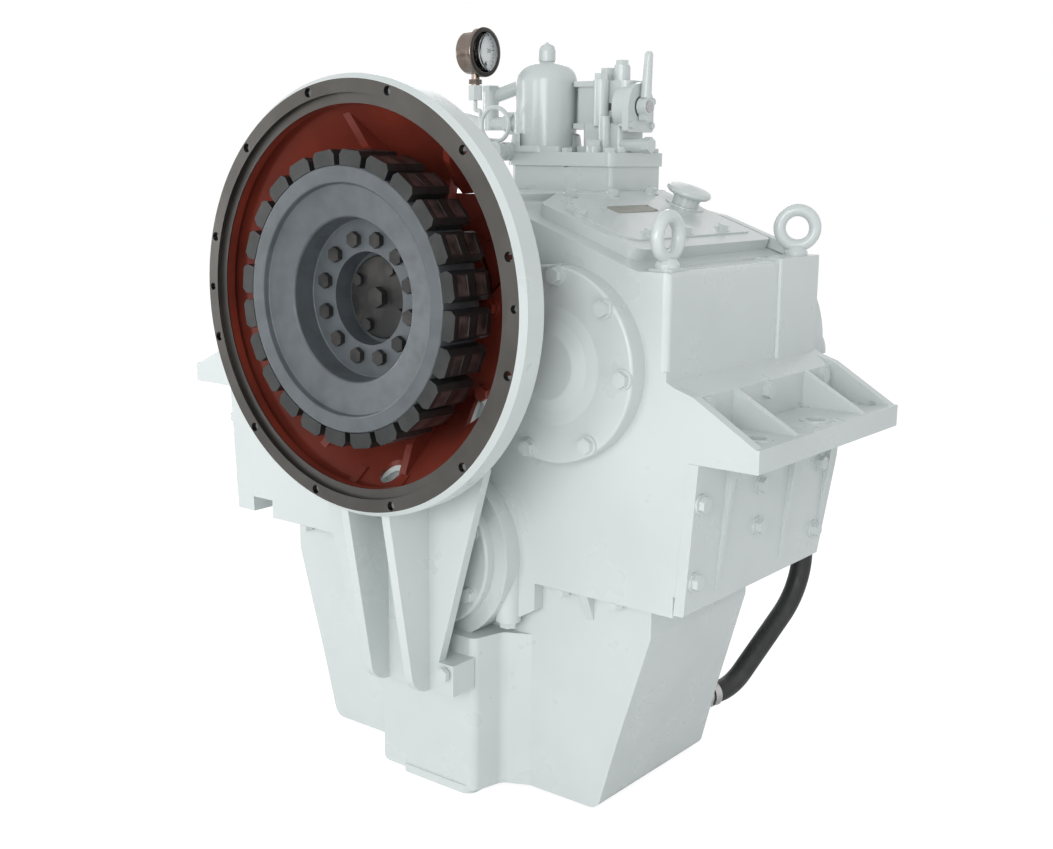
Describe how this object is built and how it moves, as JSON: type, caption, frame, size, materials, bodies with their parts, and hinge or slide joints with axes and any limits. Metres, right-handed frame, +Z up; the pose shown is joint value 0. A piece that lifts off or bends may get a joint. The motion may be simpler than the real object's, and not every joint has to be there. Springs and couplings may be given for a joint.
{
  "type": "marine reduction gearbox",
  "caption": "Marine reversing reduction gearbox with bell housing, rubber block coupling, clutches, oil sump, filter, control valve, lever and gauge.",
  "frame": {"origin": "centre of the engine flange face on the input axis", "axes": "+Y from the engine into the gearbox along the shafts, +Z up, +X to the right seen from the engine side"},
  "size_m": [1.032, 0.721, 1.073],
  "materials": {
    "casing_paint": "semi-gloss grey enamel over cast iron",
    "machined_steel": "turned and ground steel",
    "slate_iron": "slate grey satin",
    "dark_steel": "oiled dark steel",
    "rubber": "moulded rubber, satin",
    "hose_rubber": "black fabric-marked hose rubber",
    "zinc_steel": "zinc plated",
    "gauge_steel": "polished",
    "dial_white": "matte",
    "needle_black": "matte",
    "friction_bronze": "sintered",
    "filter_paper": "pleated paper"
  },
  "bodies": {
    "housing": {"bearing_outer_rings": "machined_steel", "bell_housing": "casing_paint", "bolts": "casing_paint", "caps_and_unions": "casing_paint", "control_valve_body": "casing_paint", "eye_bolts": "casing_paint", "filler_neck": "casing_paint", "gauge_case": "gauge_steel", "gauge_dial": "dial_white", "gauge_siphon_pipe": "casing_paint", "hose_fittings": "zinc_steel", "input_rear_cover": "casing_paint", "input_seal_housing": "casing_paint", "lower_housing": "casing_paint", "oil_filter_bowl": "casing_paint", "oil_filter_element": "filter_paper", "oil_filter_head": "casing_paint", "oil_filter_tie_nut": "casing_paint", "oil_pipes": "casing_paint", "oil_pump_body": "casing_paint", "oil_seals": "rubber", "output_front_cover": "casing_paint", "output_seal_housing": "casing_paint", "regulator_spring": "machined_steel", "side_plate_left": "casing_paint", "side_plate_right": "casing_paint", "suction_hose": "hose_rubber", "top_cover": "casing_paint", "transmission_front_cover": "casing_paint", "transmission_rear_cover": "casing_paint", "upper_housing": "casing_paint", "valve_pedestal": "casing_paint", "valve_side_plate": "casing_paint"},
    "input_line": {"coupling_disc": "slate_iron", "coupling_carrier": "slate_iron", "coupling_rubber_blocks": "rubber", "coupling_bolts": "dark_steel", "coupling_end_plate": "dark_steel", "input_shaft": "machined_steel", "ahead_clutch_drum": "machined_steel", "ahead_pinion": "machined_steel", "ahead_clutch_plates": "machined_steel", "ahead_piston": "machined_steel", "input_bearing_cones": "machined_steel"},
    "transmission_line": {"transmission_shaft": "machined_steel", "astern_clutch_drum": "machined_steel", "astern_steel_plates_and_piston": "machined_steel", "transmission_bearing_cones": "machined_steel", "pump_drive_gear": "machined_steel"},
    "astern_gear": {"astern_pinion": "machined_steel", "astern_lined_plates": "friction_bronze"},
    "output_line": {"output_shaft": "machined_steel", "output_gear": "machined_steel", "output_flange": "machined_steel", "output_bearing_cones": "machined_steel"},
    "shift_lever": {"control_lever": "casing_paint", "valve_rotor": "machined_steel"},
    "dial_hand": {"gauge_needle": "needle_black"},
    "breather_cap": {"filler_cap": "casing_paint"},
    "pump_idler": {"pump_idler_gear": "machined_steel"}
  },
  "joints": [
    {"name": "output_spin", "type": "hinge", "parent": "housing", "child": "output_line", "pos_m": [0, 0.4, -0.36], "axis": [0, 1, 0], "continuous": true},
    {"name": "input_spin", "type": "hinge", "parent": "housing", "child": "input_line", "pos_m": [0, 0.4, 0], "axis": [0, 1, 0], "continuous": true},
    {"name": "transmission_spin", "type": "hinge", "parent": "housing", "child": "transmission_line", "pos_m": [0.19388, 0.4, -0.08069], "axis": [0, 1, 0], "continuous": true},
    {"name": "astern_gear_spin", "type": "hinge", "parent": "housing", "child": "astern_gear", "pos_m": [0.19388, 0.3, -0.08069], "axis": [0, 1, 0], "continuous": true},
    {"name": "pump_idler_spin", "type": "hinge", "parent": "housing", "child": "pump_idler", "pos_m": [0.19388, 0.663, -0.03269], "axis": [0, 1, 0], "continuous": true},
    {"name": "shift_lever_swing", "type": "hinge", "parent": "housing", "child": "shift_lever", "pos_m": [0.095, 0.516, 0.254], "axis": [1, 0, 0], "range_deg": [-30, 30]},
    {"name": "dial_hand_turn", "type": "hinge", "parent": "housing", "child": "dial_hand", "pos_m": [-0.158, 0.434, 0.335], "axis": [-1, 0, 0], "range_deg": [0, 270]},
    {"name": "breather_cap_turn", "type": "hinge", "parent": "housing", "child": "breather_cap", "pos_m": [0.17002, 0.535, 0.14076], "axis": [0.3254, 0, 0.9456], "range_deg": [-120, 0]}
  ],
  "couplings": [
    {"joint": "input_spin", "follows": "output_spin", "ratio": -2.7895},
    {"joint": "transmission_spin", "follows": "output_spin", "ratio": 2.7895},
    {"joint": "astern_gear_spin", "follows": "output_spin", "ratio": -3.5333},
    {"joint": "pump_idler_spin", "follows": "output_spin", "ratio": -2.7895}
  ]
}
